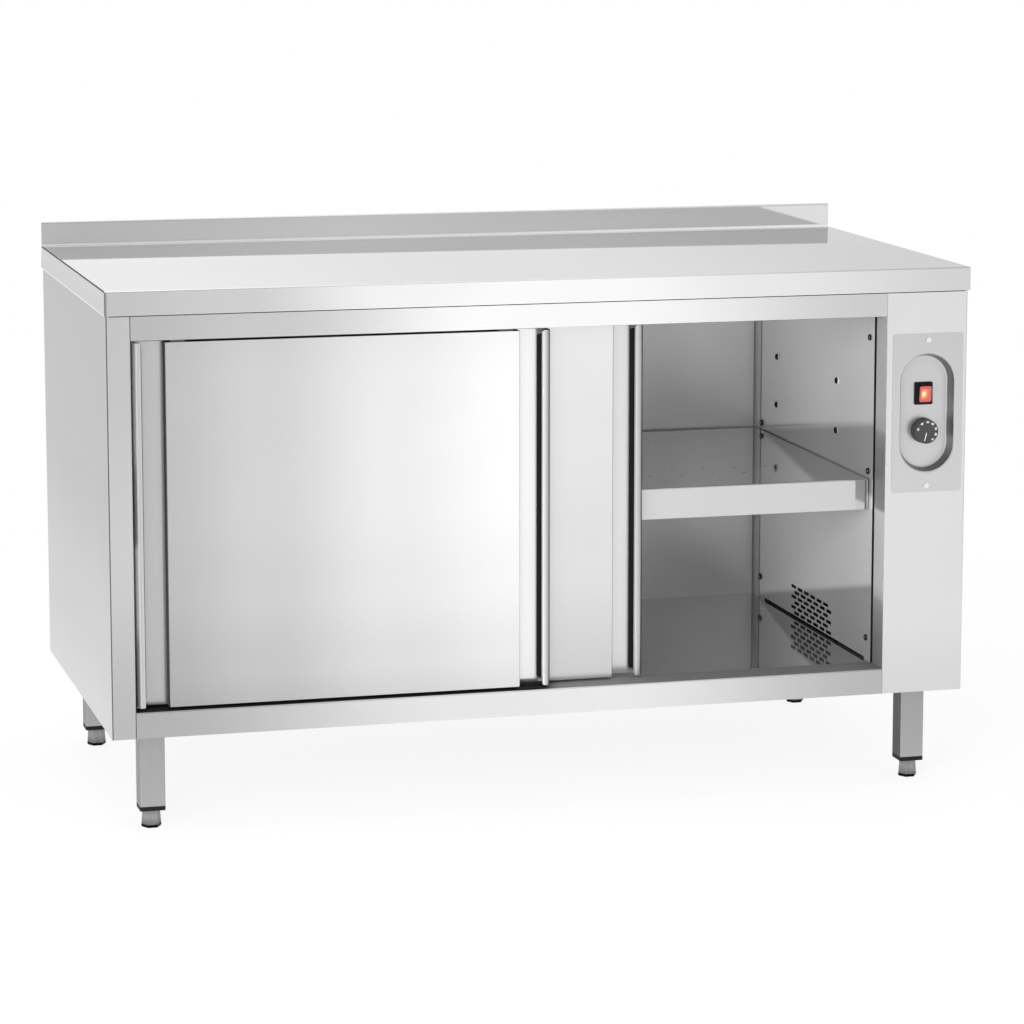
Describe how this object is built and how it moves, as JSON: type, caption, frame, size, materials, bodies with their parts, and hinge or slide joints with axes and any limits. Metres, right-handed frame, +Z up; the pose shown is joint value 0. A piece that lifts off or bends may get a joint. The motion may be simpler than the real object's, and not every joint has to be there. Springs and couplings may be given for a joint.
{
  "type": "heated plate cabinet",
  "caption": "Stainless steel worktop cabinet for warming plates, with sliding doors, a shelf, a recessed control panel and short legs on screw feet.",
  "frame": {"origin": "on the floor below the middle of the worktop", "axes": "+X to the right along the worktop's long side as seen from the doors, +Y to the back, +Z up"},
  "size_m": [1.4, 0.7, 0.89],
  "materials": {
    "casing_steel": "fine vertical or lengthwise brushing, satin",
    "liner_steel": "smooth satin sheet",
    "zinc_steel": "zinc-plated, dull",
    "bright_steel": "bright turned steel",
    "core_board": "pressed wood board",
    "mineral_wool": "fibrous slab",
    "black_plastic": "moulded, matt",
    "knob_black": "moulded, satin, white markings",
    "roller_nylon": "moulded nylon",
    "socket_black": "blackened ring",
    "rocker_red": "translucent red, lit from inside",
    "white_plastic": "moulded, matt",
    "motor_iron": "lacquered sheet-iron stack",
    "heater_steel": "heat-tinted steel tube",
    "foot_metal": "cast, satin; black sole"
  },
  "bodies": {
    "cabinet": {"worktop": "casing_steel", "worktop_core": "core_board", "left_side_panel": "casing_steel", "right_side_panel": "casing_steel", "rear_panel": "casing_steel", "bottom_panel": "zinc_steel", "top_rail": "casing_steel", "bottom_rail": "casing_steel", "inner_left_wall": "liner_steel", "inner_right_wall": "liner_steel", "inner_back_wall": "liner_steel", "inner_ceiling": "liner_steel", "inner_floor": "liner_steel", "insulation_slabs": "mineral_wool", "door_track": "zinc_steel", "floor_guide": "black_plastic", "shelf_studs": "bright_steel", "shelf_sockets": "socket_black", "wall_screws": "bright_steel", "control_plate": "casing_steel", "plate_screws": "bright_steel", "switch_housing": "black_plastic", "thermostat_body": "white_plastic", "fan_housing": "zinc_steel", "fan_motor": "motor_iron", "heating_element": "heater_steel", "terminal_block": "white_plastic", "cable_gland": "black_plastic", "leg_front_left": "casing_steel", "leg_front_right": "casing_steel", "leg_rear_left": "casing_steel", "leg_rear_right": "casing_steel", "leg_caps": "black_plastic"},
    "front_door": {"front_door_panel": "casing_steel", "front_door_left_grip": "casing_steel", "front_door_right_grip": "casing_steel", "front_door_back": "casing_steel", "front_door_core": "mineral_wool", "front_door_grip_liners": "black_plastic", "front_door_hangers": "zinc_steel"},
    "rear_door": {"rear_door_panel": "casing_steel", "rear_door_left_grip": "casing_steel", "rear_door_right_grip": "casing_steel", "rear_door_back": "casing_steel", "rear_door_core": "mineral_wool", "rear_door_grip_liners": "black_plastic", "rear_door_hangers": "zinc_steel"},
    "adjustable_shelf": {"shelf": "liner_steel"},
    "knob": {"thermostat_knob": "knob_black", "thermostat_shaft": "zinc_steel"},
    "rocker": {"switch_rocker": "rocker_red"},
    "fan": {"fan_wheel": "zinc_steel"},
    "front_door_left_roller_body": {"front_door_left_roller": "roller_nylon"},
    "front_door_right_roller_body": {"front_door_right_roller": "roller_nylon"},
    "rear_door_left_roller_body": {"rear_door_left_roller": "roller_nylon"},
    "rear_door_right_roller_body": {"rear_door_right_roller": "roller_nylon"},
    "foot_front_left_body": {"foot_front_left": "foot_metal"},
    "foot_front_right_body": {"foot_front_right": "foot_metal"},
    "foot_rear_left_body": {"foot_rear_left": "foot_metal"},
    "foot_rear_right_body": {"foot_rear_right": "foot_metal"}
  },
  "joints": [
    {"name": "front_door_slide", "type": "slide", "parent": "cabinet", "child": "front_door", "axis": [1, 0, 0], "range_m": [-0.003, 0.555]},
    {"name": "rear_door_slide", "type": "slide", "parent": "cabinet", "child": "rear_door", "axis": [1, 0, 0], "range_m": [-0.164, 0.394]},
    {"name": "front_door_left_roller_spin", "type": "hinge", "parent": "front_door", "child": "front_door_left_roller_body", "pos_m": [-0.585, -0.32655, 0.7878], "axis": [0, 1, 0], "continuous": true},
    {"name": "front_door_right_roller_spin", "type": "hinge", "parent": "front_door", "child": "front_door_right_roller_body", "pos_m": [-0.067, -0.32655, 0.7878], "axis": [0, 1, 0], "continuous": true},
    {"name": "rear_door_left_roller_spin", "type": "hinge", "parent": "rear_door", "child": "rear_door_left_roller_body", "pos_m": [-0.424, -0.29655, 0.7878], "axis": [0, 1, 0], "continuous": true},
    {"name": "rear_door_right_roller_spin", "type": "hinge", "parent": "rear_door", "child": "rear_door_right_roller_body", "pos_m": [0.094, -0.29655, 0.7878], "axis": [0, 1, 0], "continuous": true},
    {"name": "shelf_lift", "type": "slide", "parent": "cabinet", "child": "adjustable_shelf", "axis": [0, 0, 1], "range_m": [0, 0.168]},
    {"name": "thermostat_turn", "type": "hinge", "parent": "cabinet", "child": "knob", "pos_m": [0.6305, -0.335, 0.5835], "axis": [0, 1, 0], "range_deg": [0, 270]},
    {"name": "switch_rock", "type": "hinge", "parent": "cabinet", "child": "rocker", "pos_m": [0.6305, -0.3297, 0.644], "axis": [1, 0, 0], "range_deg": [-12, 0]},
    {"name": "fan_spin", "type": "hinge", "parent": "cabinet", "child": "fan", "pos_m": [0.612, 0.008, 0.224], "axis": [0, 1, 0], "continuous": true},
    {"name": "foot_front_left_height", "type": "slide", "parent": "cabinet", "child": "foot_front_left_body", "axis": [0, 0, -1], "range_m": [0, 0.025]},
    {"name": "foot_rear_left_height", "type": "slide", "parent": "cabinet", "child": "foot_rear_left_body", "axis": [0, 0, -1], "range_m": [0, 0.025]},
    {"name": "foot_front_right_height", "type": "slide", "parent": "cabinet", "child": "foot_front_right_body", "axis": [0, 0, -1], "range_m": [0, 0.025]},
    {"name": "foot_rear_right_height", "type": "slide", "parent": "cabinet", "child": "foot_rear_right_body", "axis": [0, 0, -1], "range_m": [0, 0.025]}
  ],
  "couplings": [
    {"joint": "front_door_left_roller_spin", "follows": "front_door_slide", "rad_per_m": 100},
    {"joint": "front_door_right_roller_spin", "follows": "front_door_slide", "rad_per_m": 100},
    {"joint": "rear_door_left_roller_spin", "follows": "rear_door_slide", "rad_per_m": 100},
    {"joint": "rear_door_right_roller_spin", "follows": "rear_door_slide", "rad_per_m": 100}
  ]
}
